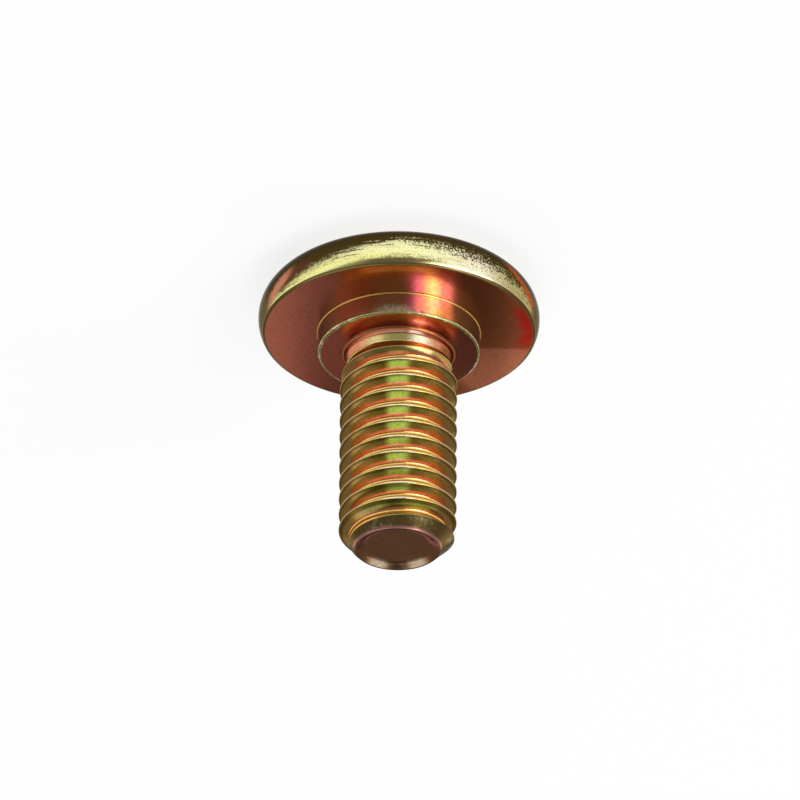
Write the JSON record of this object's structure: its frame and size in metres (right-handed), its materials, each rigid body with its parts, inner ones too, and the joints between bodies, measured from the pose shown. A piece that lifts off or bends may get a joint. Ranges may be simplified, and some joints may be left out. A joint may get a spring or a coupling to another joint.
{
  "type": "six-lobe socket shoulder bolt",
  "caption": "Round low-head shoulder bolt with a six-lobe drive socket, a plain shoulder under the head and a right-hand metric thread with a bevelled, dished end.",
  "frame": {"origin": "centre of the flat top of the head, which the bolt stands on", "axes": "+Z along the axis of the bolt, from the head towards the threaded end"},
  "size_m": [0.0238, 0.0238, 0.0252],
  "materials": {
    "yellow_zinc": "steel with bright zinc plating and an iridescent yellow passivation, gold to olive with rose and green tints"
  },
  "bodies": {
    "root": {"bolt": "yellow_zinc"}
  },
  "joints": []
}
